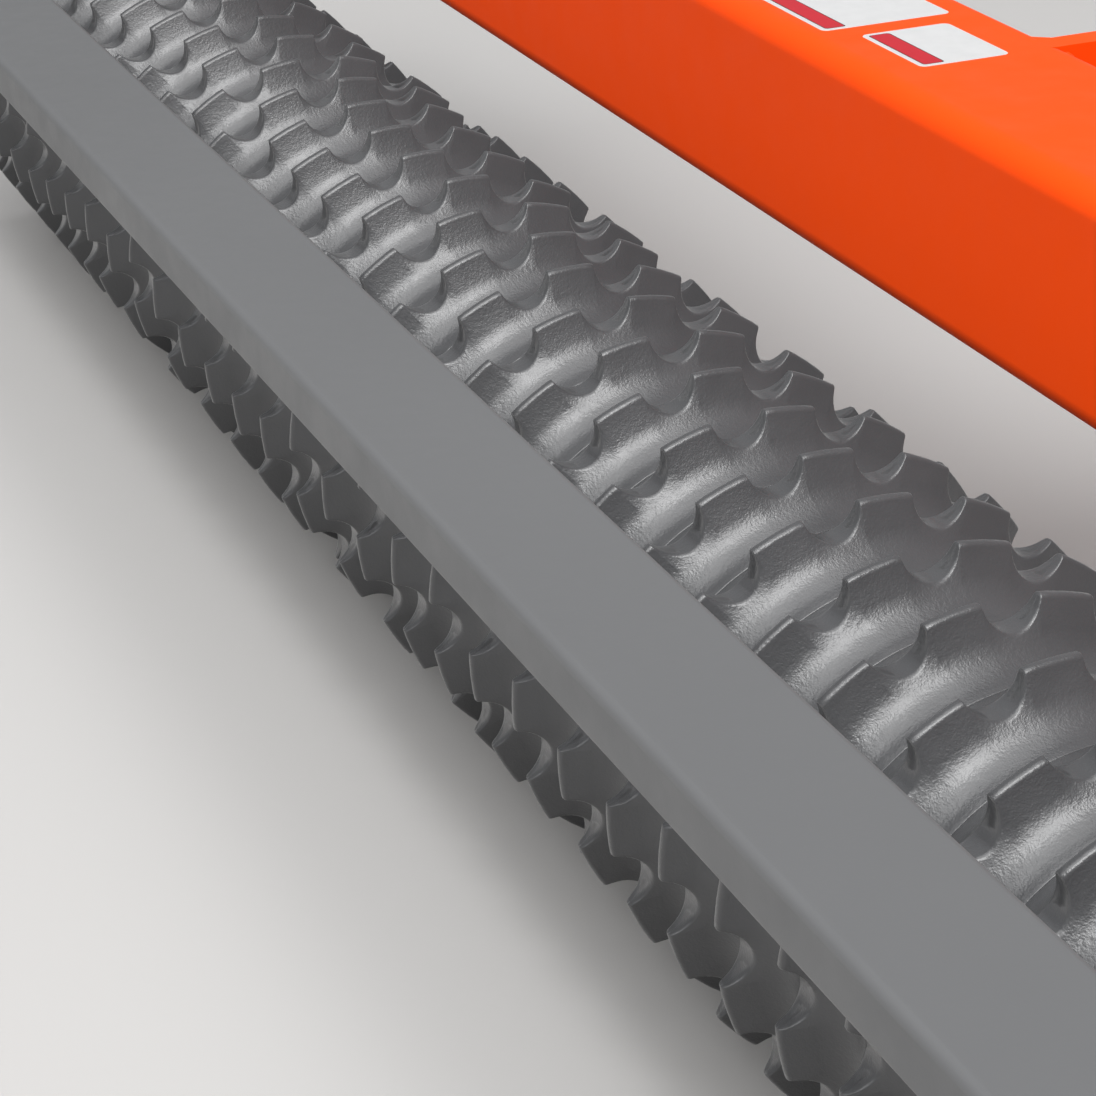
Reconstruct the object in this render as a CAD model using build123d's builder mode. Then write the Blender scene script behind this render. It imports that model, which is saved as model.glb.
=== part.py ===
from build123d import *
from math import cos, pi, radians, sin
import os

# Pull-type cultipacker: one gang of notched cast rings, a square tube beam in front of
# it and a flat bar behind it. X runs across the machine, +Y points forward to the
# hitch, +Z is up, in millimetres. The origin is on the ground, below the middle of the
# machine's own box.

# Rings
ring_radius = 203.2
ring_pitch = 88.9
ring_count = 41
ring_play = 0.2
tooth_count = 15
crest_width = 5.0
foot_radius = 180.8
foot_width = 24.0
valley_radius = 162.6
rim_radius = 142.0
hub_radius = 62.0
end_recess = 24.0

# Shaft, clamp collars and bearings
shaft_radius = 25.4
bore_play = 0.05
clamp_radius = 52.0
clamp_length = 22.0
lock_radius = 40.0
lock_length = 24.0
shaft_stub = 8.0
turning_gap = 8.0
bearing_flange = 130.0
bearing_flange_thickness = 14.0
bearing_boss_radius = 46.0
bearing_length = 44.0

# Side plates that join the bar, the beam and the bearings
hanger_thickness = 12.7
hanger_margin = 18.0
hanger_foot = 90.0
hanger_corner = 24.0

# Main beam, places from the roller's axis
beam_side = 177.8
beam_wall = 9.5
beam_bend = 20.0
beam_rear = 169.3
beam_rise = 217.3
flange_side = 220.0
flange_thickness = 12.7
flange_corner = 16.0

# Flat rear bar, places from the roller's axis
bar_width = 101.6
bar_height = 38.1
bar_wall = 4.8
bar_bend = 7.0
bar_behind = 255.4
bar_rise = 262.3

# Tongue and the plates that hold it
tongue_side = 127.0
tongue_wall = 6.4
tongue_bend = 13.0
tongue_length = 1500.0
cheek_thickness = 25.4
cheek_length = 420.0
cheek_level = 150.0
cheek_nose = 100.0
seat_gap = 0.3

# Nose plate and hitch clevis
nose_thickness = 19.0
clevis_width = 104.0
clevis_ear = 20.0
clevis_mouth = 64.0
clevis_back = 19.0
clevis_reach = 100.0
pin_hole_radius = 14.3

# Swivel jack on the tongue's left side
jack_setback = 420.0
jack_plate = 110.0
jack_plate_thickness = 10.0
socket_side = 80.0
socket_length = 50.0
spigot_radius = 30.0
spigot_play = 2.0
jack_disc = 92.0
jack_disc_thickness = 8.0
jack_side = 64.0
jack_bottom = 290.0
jack_top = 800.0
leg_side = 54.0
leg_wall = 5.0
leg_top = 510.0
foot_side = 150.0
foot_thickness = 8.0
cap_side = 76.0
cap_height = 40.0
cap_slope = 9.0
crank_side = 13.0
crank_reach = 40.0
crank_arm = 170.0
crank_end = 12.0
grip_radius = 14.0
grip_length = 96.0

# Derived places, all measured from the origin
half_width = ring_pitch / 2
gang_half = ring_count * half_width
hanger_inner = gang_half + clamp_length + turning_gap
hanger_outer = hanger_inner + hanger_thickness
bearing_outer = hanger_outer + bearing_length
lock_inner = bearing_outer + turning_gap
shaft_half = lock_inner + lock_length + shaft_stub
beam_half = hanger_inner - flange_thickness
rear_reach = bar_behind + bar_width + hanger_margin
beam_front = beam_rear + beam_side
tongue_front = beam_front + tongue_length
clevis_foot = tongue_front + nose_thickness
clevis_eye = clevis_foot + clevis_back + clevis_reach
front_reach = clevis_eye + clevis_width / 2
axle_y = (rear_reach - front_reach) / 2
axle_z = ring_radius
beam_y = axle_y + beam_rear + beam_side / 2
beam_z = axle_z + beam_rise + beam_side / 2
tongue_z = axle_z + beam_rise + tongue_side / 2
bar_y = axle_y - bar_behind - bar_width / 2
bar_z = axle_z + bar_rise + bar_height / 2
jack_y = axle_y + tongue_front - jack_setback
jack_plate_x = -tongue_side / 2 - jack_plate_thickness
socket_x = jack_plate_x - socket_length
jack_disc_x = socket_x - spigot_play - jack_disc_thickness
jack_x = jack_disc_x - jack_side / 2

os.makedirs("parts", exist_ok=True)

# The rings sit loose on the shaft: how far each one is turned, in degrees, counted from
# the sixteenth ring left of the middle one and repeated beyond the last
ring_turns = [
    22, 18, 15, 11, 13, 2, 11, 17, 19, 19, 16, 4, 13,
    19, 9, 3, 16, 11, 15, 15, 7, 4, 22, 20, 22,
]
tooth_step = 2 * pi / tooth_count
seam_half = half_width - ring_play / 2

# Ring: a prism with one flat under every tooth. Behind each flat both sides slope down
# from the crest to the seams, and a notch parts it from the next
lip_out = ring_radius * cos(tooth_step / 4)
lip_side = ring_radius * sin(tooth_step / 4)
notch_out = 2 * lip_out - foot_radius
flat_share = cos(tooth_step / 2)
side_slopes = [
    (seam_half, valley_radius * flat_share),
    (foot_width / 2, foot_radius * flat_share),
    (crest_width / 2, lip_out),
    (crest_width / 2, notch_out),
    (half_width, notch_out),
    (half_width, valley_radius * flat_share),
]
with BuildPart() as ring:
    with BuildSketch(Plane.YZ.offset(-seam_half)):
        RegularPolygon(lip_out, tooth_count, major_radius=False,
                       rotation=180 / tooth_count)
    extrude(amount=2 * seam_half)
    for k in range(tooth_count):
        turn = k * tooth_step
        with BuildSketch(Plane(origin=(0, 0, 0), x_dir=(1, 0, 0),
                               z_dir=(0, -sin(turn), cos(turn)))):
            for sign in (-1, 1):
                with BuildLine():
                    Polyline(*[(sign * x, out) for x, out in side_slopes], close=True)
                make_face()
        extrude(amount=3 * lip_side, both=True, mode=Mode.SUBTRACT)
    with BuildSketch(Plane.YZ.offset(-foot_width)):
        with PolarLocations(0, tooth_count, start_angle=180 / tooth_count):
            Polygon((foot_radius, 0), (notch_out, 2 * lip_side),
                    (notch_out, -2 * lip_side), align=None)
    extrude(amount=2 * foot_width, mode=Mode.SUBTRACT)
    with BuildSketch(Plane.YZ.offset(-half_width)):
        RegularPolygon(shaft_radius + bore_play, 8, major_radius=False)
    extrude(amount=ring_pitch, mode=Mode.SUBTRACT)

for first, group in ((0, "even"), (1, "odd")):
    places = []
    for k in range(first, ring_count, 2):
        turn = ring_turns[(k - ring_count // 2 + 16) % len(ring_turns)]
        x = ring_pitch * k - gang_half + half_width
        places.append(Location((x, axle_y, axle_z), (turn, 0, 0)))
    with BuildPart() as rings:
        with Locations(*places):
            add(ring.part)
        if first == 0:
            # The two end rings show their hub, a recess and the rim
            for sign in (-1, 1):
                end_face = Plane(origin=(sign * gang_half, axle_y, axle_z),
                                 x_dir=(0, sign, 0), z_dir=(sign, 0, 0))
                with BuildSketch(end_face):
                    RegularPolygon(rim_radius, tooth_count)
                    RegularPolygon(hub_radius, 8, mode=Mode.SUBTRACT)
                extrude(amount=-end_recess, mode=Mode.SUBTRACT)
    rings.part.label = f"rings_{group}"
    export_step(rings.part, f"parts/rings_{group}.step")

# Shaft through the whole gang
with BuildPart() as shaft:
    with BuildSketch(Plane.YZ.offset(-shaft_half)):
        with Locations((axle_y, axle_z)):
            Circle(shaft_radius)
    extrude(amount=2 * shaft_half)
shaft.part.label = "shaft"
export_step(shaft.part, "parts/shaft.step")

# Clamp collars that close the gang, and the nuts outside the bearings
with BuildPart() as clamps:
    for sign in (-1, 1):
        with BuildSketch(Plane.YZ.offset(sign * gang_half)):
            with Locations((axle_y, axle_z)):
                RegularPolygon(clamp_radius, 12)
                RegularPolygon(shaft_radius + bore_play, 8, major_radius=False,
                               mode=Mode.SUBTRACT)
        extrude(amount=sign * clamp_length)
clamps.part.label = "clamp_collars"
export_step(clamps.part, "parts/clamp_collars.step")

with BuildPart() as locks:
    for sign in (-1, 1):
        with BuildSketch(Plane.YZ.offset(sign * lock_inner)):
            with Locations((axle_y, axle_z)):
                RegularPolygon(lock_radius, 6)
                RegularPolygon(shaft_radius + bore_play, 8, major_radius=False,
                               mode=Mode.SUBTRACT)
        extrude(amount=sign * lock_length)
locks.part.label = "lock_nuts"
export_step(locks.part, "parts/lock_nuts.step")

# Main beam: square tube with large bends
with BuildPart() as beam:
    with BuildSketch(Plane.YZ.offset(-beam_half)):
        with Locations((beam_y, beam_z)):
            RectangleRounded(beam_side, beam_side, beam_bend)
            Rectangle(beam_side - 2 * beam_wall, beam_side - 2 * beam_wall,
                      mode=Mode.SUBTRACT)
    extrude(amount=2 * beam_half)
beam.part.label = "main_beam"
export_step(beam.part, "parts/main_beam.step")

# Rear bar: flat rectangular tube behind the rings
with BuildPart() as bar:
    with BuildSketch(Plane.YZ.offset(-hanger_inner)):
        with Locations((bar_y, bar_z)):
            RectangleRounded(bar_width, bar_height, bar_bend)
            Rectangle(bar_width - 2 * bar_wall, bar_height - 2 * bar_wall,
                      mode=Mode.SUBTRACT)
    extrude(amount=2 * hanger_inner)
bar.part.label = "rear_bar"
export_step(bar.part, "parts/rear_bar.step")

# Hanger outline, from the roller's axis: bar arm, beam arm and bearing foot
bar_low = bar_rise - hanger_margin
bar_high = bar_rise + bar_height + hanger_margin
beam_low = beam_rise - (flange_side - beam_side) / 2
beam_high = beam_rise + (flange_side + beam_side) / 2
beam_back = beam_rear - (flange_side - beam_side) / 2
beam_fore = beam_rear + (flange_side + beam_side) / 2
hanger_outline = [
    (-rear_reach, bar_low),
    (-rear_reach, bar_high),
    (-bar_behind + hanger_margin, bar_high),
    (beam_back, beam_high),
    (beam_fore, beam_high),
    (beam_fore, beam_low),
    (hanger_foot, -hanger_foot),
    (-hanger_foot, -hanger_foot),
]

for side, sign in (("left", -1), ("right", 1)):
    # Every side plane has its own outward normal, so that extrusions run outwards
    outward = Plane(origin=(0, axle_y, axle_z), x_dir=(0, sign, 0), z_dir=(sign, 0, 0))
    outline = [(sign * y, z) for y, z in hanger_outline]
    beam_centre = (sign * (beam_y - axle_y), beam_z - axle_z)

    with BuildPart() as flange:
        with BuildSketch(outward.offset(beam_half)) as flange_face:
            with Locations(beam_centre):
                Rectangle(flange_side, flange_side)
            chamfer(flange_face.vertices(), flange_corner)
        extrude(amount=flange_thickness)
    flange.part.label = f"beam_flange_{side}"
    export_step(flange.part, f"parts/beam_flange_{side}.step")

    with BuildPart() as hanger:
        with BuildSketch(outward.offset(hanger_inner)) as hanger_face:
            with BuildLine():
                Polyline(*outline, close=True)
            make_face()
            chamfer(hanger_face.vertices(), hanger_corner)
            RegularPolygon(shaft_radius + turning_gap, 12, major_radius=False,
                           mode=Mode.SUBTRACT)
        extrude(amount=hanger_thickness)
    hanger.part.label = f"hanger_{side}"
    export_step(hanger.part, f"parts/hanger_{side}.step")

    # Cheek plate beside the tongue, its back edge shaped to the beam's bends
    with BuildPart() as cheek:
        cheek_back = beam_y + beam_side / 2 - beam_bend
        cheek_start = beam_y + beam_side / 2
        cheek_fore = cheek_start + cheek_length
        cheek_top = beam_z + beam_side / 2
        cheek_low = beam_z - beam_side / 2
        with BuildSketch(Plane.YZ.offset(sign * (tongue_side / 2 + seat_gap))):
            with BuildLine():
                Polyline(
                    (cheek_back, cheek_low),
                    (cheek_back, cheek_top),
                    (cheek_start + cheek_level, cheek_top),
                    (cheek_fore, cheek_low + cheek_nose),
                    (cheek_fore, cheek_low),
                    close=True,
                )
            make_face()
            with Locations((beam_y, beam_z)):
                RectangleRounded(beam_side, beam_side, beam_bend, mode=Mode.SUBTRACT)
        extrude(amount=sign * cheek_thickness)
    cheek.part.label = f"cheek_plate_{side}"
    export_step(cheek.part, f"parts/cheek_plate_{side}.step")

# Flange bearings outside the hangers
with BuildPart() as bearings:
    for sign in (-1, 1):
        with BuildSketch(Plane.YZ.offset(sign * hanger_outer)) as bearing_face:
            with Locations((axle_y, axle_z)):
                Rectangle(bearing_flange, bearing_flange)
            chamfer(bearing_face.vertices(), hanger_corner)
        extrude(amount=sign * bearing_flange_thickness)
        with BuildSketch(Plane.YZ.offset(sign * hanger_outer)):
            with Locations((axle_y, axle_z)):
                Circle(bearing_boss_radius)
        extrude(amount=sign * bearing_length)
        with BuildSketch(Plane.YZ.offset(sign * hanger_outer)):
            with Locations((axle_y, axle_z)):
                Circle(shaft_radius + bore_play)
        extrude(amount=sign * bearing_length, mode=Mode.SUBTRACT)
bearings.part.label = "bearings"
export_step(bearings.part, "parts/bearings.step")

# Tongue: square tube from the beam's front face to the nose
with BuildPart() as tongue:
    with BuildSketch(Plane.XZ.offset(-(axle_y + tongue_front))):
        with Locations((0, tongue_z)):
            RectangleRounded(tongue_side, tongue_side, tongue_bend)
            Rectangle(tongue_side - 2 * tongue_wall, tongue_side - 2 * tongue_wall,
                      mode=Mode.SUBTRACT)
    extrude(amount=tongue_length)
tongue.part.label = "tongue"
export_step(tongue.part, "parts/tongue.step")

with BuildPart() as nose:
    with BuildSketch(Plane.XZ.offset(-(axle_y + clevis_foot))) as nose_face:
        with Locations((0, tongue_z)):
            Rectangle(tongue_side, tongue_side)
        chamfer(nose_face.vertices(), tongue_bend)
    extrude(amount=nose_thickness)
nose.part.label = "nose_plate"
export_step(nose.part, "parts/nose_plate.step")

# Hitch clevis: a back plate and two ears with one pin hole through both
clevis_height = clevis_mouth + 2 * clevis_ear
clevis_start = axle_y + clevis_foot
clevis_fore = axle_y + front_reach
clevis_corner = clevis_width * 0.29
with BuildPart() as clevis:
    with BuildSketch(Plane.XY.offset(tongue_z - clevis_height / 2)):
        with BuildLine():
            Polyline(
                (-clevis_width / 2, clevis_start),
                (-clevis_width / 2, clevis_fore - clevis_corner),
                (-clevis_width / 2 + clevis_corner, clevis_fore),
                (clevis_width / 2 - clevis_corner, clevis_fore),
                (clevis_width / 2, clevis_fore - clevis_corner),
                (clevis_width / 2, clevis_start),
                close=True,
            )
        make_face()
        with Locations((0, axle_y + clevis_eye)):
            Circle(pin_hole_radius, mode=Mode.SUBTRACT)
    extrude(amount=clevis_height)
    with BuildSketch(Plane.XY.offset(tongue_z - clevis_mouth / 2)):
        with Locations((0, clevis_start + clevis_back + clevis_reach)):
            Rectangle(2 * clevis_width, 2 * clevis_reach)
    extrude(amount=clevis_mouth, mode=Mode.SUBTRACT)
clevis.part.label = "hitch_clevis"
export_step(clevis.part, "parts/hitch_clevis.step")

# Jack mount: plate and open socket on the tongue's left side
with BuildPart() as jack_mount:
    with BuildSketch(Plane.YZ.offset(jack_plate_x)):
        with Locations((jack_y, tongue_z)):
            Rectangle(jack_plate, jack_plate)
    extrude(amount=jack_plate_thickness)
    with BuildSketch(Plane.YZ.offset(socket_x)):
        with Locations((jack_y, tongue_z)):
            RegularPolygon(socket_side / 2, 8, major_radius=False)
            Circle(spigot_radius + bore_play, mode=Mode.SUBTRACT)
    extrude(amount=socket_length)
jack_mount.part.label = "jack_mount"
export_step(jack_mount.part, "parts/jack_mount.step")

# Square jack tube with the disc and the spigot that swivel in the socket
with BuildPart() as jack_tube:
    with BuildSketch(Plane.XY.offset(jack_bottom)):
        with Locations((jack_x, jack_y)):
            Rectangle(jack_side, jack_side)
    extrude(amount=jack_top - jack_bottom)
    with BuildSketch(Plane.YZ.offset(jack_disc_x)):
        with Locations((jack_y, tongue_z)):
            RegularPolygon(jack_disc / 2, 8, major_radius=False)
    extrude(amount=jack_disc_thickness)
    with BuildSketch(Plane.YZ.offset(jack_disc_x + jack_disc_thickness)):
        with Locations((jack_y, tongue_z)):
            Circle(spigot_radius)
    extrude(amount=socket_length)
    with BuildSketch(Plane.XY.offset(jack_bottom)):
        with Locations((jack_x, jack_y)):
            Rectangle(leg_side + 2 * bore_play, leg_side + 2 * bore_play)
    extrude(amount=jack_top - jack_bottom, mode=Mode.SUBTRACT)
jack_tube.part.label = "jack_tube"
export_step(jack_tube.part, "parts/jack_tube.step")

with BuildPart() as jack_cap:
    with BuildSketch(Plane.XY.offset(jack_top)):
        with Locations((jack_x, jack_y)):
            Rectangle(cap_side, cap_side)
    extrude(amount=cap_height)
    chamfer(jack_cap.edges().group_by(Axis.Z)[-1], cap_slope)
jack_cap.part.label = "jack_cap"
export_step(jack_cap.part, "parts/jack_cap.step")

# Crank: axle out of the cap's side, arm hanging down, grip on its end
crank_z = jack_top + cap_height / 2 - cap_slope / 2
crank_start = jack_x - cap_side / 2
crank_x = crank_start - crank_reach
grip_z = crank_z - crank_arm
half_crank = crank_side / 2
with BuildPart() as crank:
    with BuildSketch(Plane.XZ.offset(-jack_y - half_crank)):
        with BuildLine():
            Polyline(
                (crank_start, crank_z + half_crank),
                (crank_x - half_crank, crank_z + half_crank),
                (crank_x - half_crank, grip_z + half_crank),
                (crank_x - crank_end, grip_z + half_crank),
                (crank_x - crank_end, grip_z - half_crank),
                (crank_x + half_crank, grip_z - half_crank),
                (crank_x + half_crank, crank_z - half_crank),
                (crank_start, crank_z - half_crank),
                close=True,
            )
        make_face()
    extrude(amount=crank_side)
crank.part.label = "jack_crank"
export_step(crank.part, "parts/jack_crank.step")

with BuildPart() as grip:
    with BuildSketch(Plane.YZ.offset(crank_x - crank_end)):
        with Locations((jack_y, grip_z)):
            RegularPolygon(grip_radius, 8)
    extrude(amount=-grip_length)
grip.part.label = "jack_grip"
export_step(grip.part, "parts/jack_grip.step")

with BuildPart() as jack_leg:
    with BuildSketch(Plane.XY.offset(foot_thickness)):
        with Locations((jack_x, jack_y)):
            Rectangle(leg_side, leg_side)
            Rectangle(leg_side - 2 * leg_wall, leg_side - 2 * leg_wall,
                      mode=Mode.SUBTRACT)
    extrude(amount=leg_top - foot_thickness)
jack_leg.part.label = "jack_leg"
export_step(jack_leg.part, "parts/jack_leg.step")

with BuildPart() as jack_foot:
    with BuildSketch(Plane.XY) as foot_face:
        with Locations((jack_x, jack_y)):
            Rectangle(foot_side, foot_side)
        chamfer(foot_face.vertices(), foot_side / 5)
    extrude(amount=foot_thickness)
jack_foot.part.label = "jack_foot"
export_step(jack_foot.part, "parts/jack_foot.step")
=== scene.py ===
"""Looks of a pull-type cultipacker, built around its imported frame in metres."""

import bmesh
import bpy
import numpy as np
from bpy.props import FloatProperty, FloatVectorProperty, IntProperty, PointerProperty
from mathutils import Matrix, Vector


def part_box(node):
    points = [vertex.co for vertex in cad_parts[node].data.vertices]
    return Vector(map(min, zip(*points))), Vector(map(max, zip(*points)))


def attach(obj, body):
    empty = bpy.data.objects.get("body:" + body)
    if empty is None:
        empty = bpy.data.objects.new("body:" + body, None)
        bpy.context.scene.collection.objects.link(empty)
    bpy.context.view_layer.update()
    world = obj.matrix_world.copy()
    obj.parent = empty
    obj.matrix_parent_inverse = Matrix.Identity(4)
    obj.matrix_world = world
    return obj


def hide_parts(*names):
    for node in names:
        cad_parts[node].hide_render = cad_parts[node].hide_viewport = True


bl_info = {
    "name": "Cultipacker",
    "version": (1, 0, 0),
    "blender": (4, 5, 0),
    "location": "View3D > Sidebar > Cultipacker",
    "description": "Notched ring roller with its beam, bar, tongue and jack",
    "category": "Object",
}

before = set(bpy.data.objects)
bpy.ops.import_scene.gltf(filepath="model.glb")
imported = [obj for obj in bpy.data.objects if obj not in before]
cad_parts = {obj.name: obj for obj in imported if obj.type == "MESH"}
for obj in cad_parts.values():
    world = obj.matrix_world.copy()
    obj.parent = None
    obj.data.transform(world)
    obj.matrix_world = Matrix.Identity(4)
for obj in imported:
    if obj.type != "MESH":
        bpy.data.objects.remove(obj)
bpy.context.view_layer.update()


def box_of(node):
    """Low corner, high corner and middle of a node, as arrays."""
    low, high = (np.array(corner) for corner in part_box(node))
    return low, high, (low + high) / 2


AXLE = box_of("shaft")[2]

# How far each ring is turned on the shaft, in degrees, from the sixteenth ring left of
# the middle one, repeated beyond the last
RING_TURNS = [
    22, 18, 15, 11, 13, 2, 11, 17, 19, 19, 16, 4, 13,
    19, 9, 3, 16, 11, 15, 15, 7, 4, 22, 20, 22,
]
# First and last ring of each piece that the gang is divided into
RING_BATCHES = {"left": (0, 8), "near_left": (8, 16), "middle": (16, 25),
                "near_right": (25, 33), "right": (33, 41)}


# Sizes and colours that a user would change

def number(name, value, text, **kind):
    """One number, of a unit or subtype where one fits."""
    return FloatProperty(name=name, default=value, description=text, **kind)


def metres(name, value, text):
    """A length."""
    return number(name, value, text, unit="LENGTH")


def whole(name, value, text, least):
    """A whole number with its least value."""
    return IntProperty(name=name, default=value, description=text, min=least)


def vector(name, value, text, **kind):
    """Several numbers, of a unit or subtype."""
    return FloatVectorProperty(name=name, default=value, description=text, **kind)


def heading(name, value, text):
    """A direction in space."""
    return vector(name, value, text, subtype="XYZ")


def swatch(name, value, text):
    """A linear colour."""
    return vector(name, value, text, subtype="COLOR")


class RingSizes(bpy.types.PropertyGroup):
    """Sizes of one cast ring."""
    radius: metres("Radius", 0.2032, "From the axle to the crest")
    pitch: metres("Pitch", 0.0889, "From one ring's middle to the next")
    seam_gap: metres("Seam gap", 0.0002, "Between two rings' sides")
    seam_radius: metres("Seam radius", 0.1626, "From the axle to a seam")
    hollow: metres("Hollow", 0.0379, "Radius of the hollow sides")
    shoulder: metres("Shoulder", 0.0093, "From the middle to where the hollow ends")
    crest_width: metres("Crest width", 0.0076, "Width of a tooth's top")
    notch_depth: metres("Notch depth", 0.0224, "Below the crest")
    notch_angle: number("Notch half angle", 0.108, "From a notch's middle to its lip",
                        subtype="ANGLE")
    lip_smoothing: metres("Lip smoothing", 0.0009, "Length over which it is rounded")
    edge: metres("Edge", 0.0030, "Rounding between crest and sides")
    seam_edge: metres("Seam edge", 0.0007, "Rounding at a seam")
    parting_step: metres("Parting step", 0.0003, "How much lower the left half sits")
    bore: metres("Bore radius", 0.0256, "Of the hole for the shaft")
    recess: metres("Recess", 0.023, "Depth in the end rings' sides")
    teeth: whole("Teeth", 15, "Number of teeth on a ring", 3)
    count: whole("Rings", 41, "Number of rings in the gang", 1)
    rows: whole("Rows", 23, "Grid rows in each tooth's pitch", 8)


class FrameSizes(bpy.types.PropertyGroup):
    """Sizes of the welded frame's bends, edges, beads and bolts."""
    beam_bend: metres("Beam bend", 0.020, "Outer radius of its corners")
    bar_bend: metres("Bar bend", 0.007, "Outer radius of its corners")
    tongue_bend: metres("Tongue bend", 0.013, "Outer radius of its corners")
    plate_edge: metres("Plate edge", 0.0016, "Rounding of cut plates")
    bead: metres("Weld bead", 0.0055, "Radius of a weld bead")
    corner_bead: metres("Corner bead", 0.0085, "Radius, between cheek and beam")
    corner_fill: metres("Corner fill", 0.0185, "Width of the weld metal beside a cheek")
    plate_bolt: metres("Plate bolt", 0.024, "Across flats, of the side plates' bolts")
    plate_bolt_reach: metres("Plate bolt reach", 0.068, "From the beam's middle")
    bearing_bolt: metres("Bearing bolt", 0.019, "Across flats, of the bearings' bolts")
    bearing_bolt_reach: metres("Bearing bolt reach", 0.0475, "From the axle, each way")
    bearing_flange: metres("Bearing flange", 0.014, "Thickness of a bearing's flange")


class LabelSizes(bpy.types.PropertyGroup):
    """Sizes of the two blank labels on the beam's top."""
    first: vector("First label", (-0.397, -0.192, 0.1937, 0.3108),
                  "Left, right, rear and front of the large one", size=4, unit="LENGTH")
    second: vector("Second label", (-0.1668, -0.0636, 0.214, 0.293),
                   "The same of the small one", size=4, unit="LENGTH")
    corner: metres("Corner", 0.006, "Radius of a label's corners")
    film: metres("Film", 0.0003, "Thickness of the printed film")
    border: metres("Border", 0.0045, "White edge round the band")
    rule: metres("Rule", 0.0009, "Width of the line round the band")
    band: metres("Band", 0.019, "Width of the coloured band")


class FinishColours(bpy.types.PropertyGroup):
    """Colours of the paints, castings and metals."""
    casting: swatch("Ring casting", (0.058, 0.059, 0.062), "Gloss dark grey")
    grey: swatch("Grey paint", (0.128, 0.130, 0.133), "Bar and side plates")
    orange: swatch("Orange paint", (1.0, 0.074, 0.004), "Beam and tongue")
    bearing: swatch("Bearing casting", (0.03, 0.031, 0.033), "Bearing housings")
    black: swatch("Black steel", (0.018, 0.018, 0.019), "Clevis, nuts and jack tube")
    bright: swatch("Bright steel", (0.56, 0.56, 0.57), "Plated parts")
    rubber: swatch("Grip rubber", (0.014, 0.014, 0.015), "Crank handle")
    label: swatch("Label white", (0.60, 0.60, 0.60), "Blank labels")
    label_band: swatch("Label band", (0.50, 0.006, 0.018), "Band on the labels")
    label_rule: swatch("Label rule", (0.02, 0.015, 0.018), "Line round the band")


class StageSettings(bpy.types.PropertyGroup):
    """Camera, floor and lamps."""
    camera_place: vector("Camera place", (2.0449, -1.7685, 1.2920),
                         "Where the camera stands", subtype="TRANSLATION")
    camera_forward: heading("Camera forward", (-0.8463, 0.3319, -0.4167),
                            "The way the camera looks")
    camera_up: heading("Camera up", (-0.3753, 0.1839, 0.9085),
                       "The picture's upward direction")
    lens: number("Lens", 104.03, "Focal length in millimetres on 36")
    floor: swatch("Floor", (0.52, 0.51, 0.50), "As the camera and mirror rays see it")
    floor_bounce: swatch("Floor bounce", (0.20, 0.195, 0.185),
                         "As it throws light back under the machine")
    key: number("Key lamp", 1060.0, "The lamp above the camera", unit="POWER")
    key_direction: heading("Key direction", (0.58, -0.22, 0.78), "Towards that lamp")
    sky: number("Sky lamp", 640.0, "The wide lamp overhead", unit="POWER")
    sky_direction: heading("Sky direction", (0.08, -0.25, 0.96), "Towards that lamp")
    rear: number("Rear lamp", 250.0, "The weaker lamp behind", unit="POWER")
    rear_direction: heading("Rear direction", (0.12, -0.72, 0.68), "Towards that lamp")
    horizon: number("Horizon", 0.34, "Strength of the even light from the sides")
    zenith: number("Zenith", 0.40, "Strength of the even light from above")


# Pieces

def piece(name, shape, slot, body, replaced=(), weighted=True):
    """A named piece from points and faces, or from a list of such shapes."""
    points, faces = joined(shape) if isinstance(shape, list) else shape
    mesh = bpy.data.meshes.new(name)
    mesh.from_pydata(points, [], faces)
    mesh.validate()
    dressed(name, mesh, slot, body, replaced, weighted=weighted)


def softened(node, slot, body, edge):
    """A copy of a plate or block from the frame with its doubles merged, its flat faces
    made whole and its edges rounded, which stands for that node."""
    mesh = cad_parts[node].data.copy()
    solid = bmesh.new()
    solid.from_mesh(mesh)
    bmesh.ops.remove_doubles(solid, verts=solid.verts, dist=1e-5)
    bmesh.ops.dissolve_limit(solid, angle_limit=np.radians(1), verts=solid.verts,
                             edges=solid.edges)
    solid.to_mesh(mesh)
    solid.free()
    dressed("dressed_" + node, mesh, slot, body, (node,), edge)


def dressed(name, mesh, slot, body, replaced=(), edge=0.0, weighted=True):
    """A piece at the origin: its mesh is smooth shaded up to 50 degrees, with normals
    weighted by face area, and gets its finish and its rounded edges. It rides on a body
    and stands for the replaced nodes. Glossy rays pass the orange pieces, so that the
    rings' sheen stays grey."""
    mesh.shade_smooth()
    mesh.set_sharp_from_angle(angle=np.radians(50))
    mesh.materials.clear()
    mesh.materials.append(bpy.data.materials[slot])
    item = bpy.data.objects.new(name, mesh)
    item.visible_glossy = slot != "orange_powder"
    bpy.context.scene.collection.objects.link(item)
    if edge:
        bevel = item.modifiers.new("edges", "BEVEL")
        bevel.width = edge
        bevel.segments = 2
        bevel.limit_method = "ANGLE"
        bevel.angle_limit = np.radians(35)
        bevel.harden_normals = False
    if weighted:
        item.modifiers.new("normals", "WEIGHTED_NORMAL").keep_sharp = True
    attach(item, body)
    if replaced:
        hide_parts(*replaced)


# Surfaces

def grid_faces(rows, columns, wrap_rows=True):
    """Quads of a grid whose columns wrap: each joins a point, the next in its row, and
    the two beside them in the next row. Wrapped rows also join the last to the first."""
    row = np.arange(rows if wrap_rows else rows - 1)[:, None]
    column = np.arange(columns)[None, :]
    next_row, next_column = (row + 1) % rows, (column + 1) % columns
    corners = (row * columns + column, row * columns + next_column,
               next_row * columns + next_column, next_row * columns + column)
    return np.stack(corners, axis=-1).reshape(-1, 4)


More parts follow.
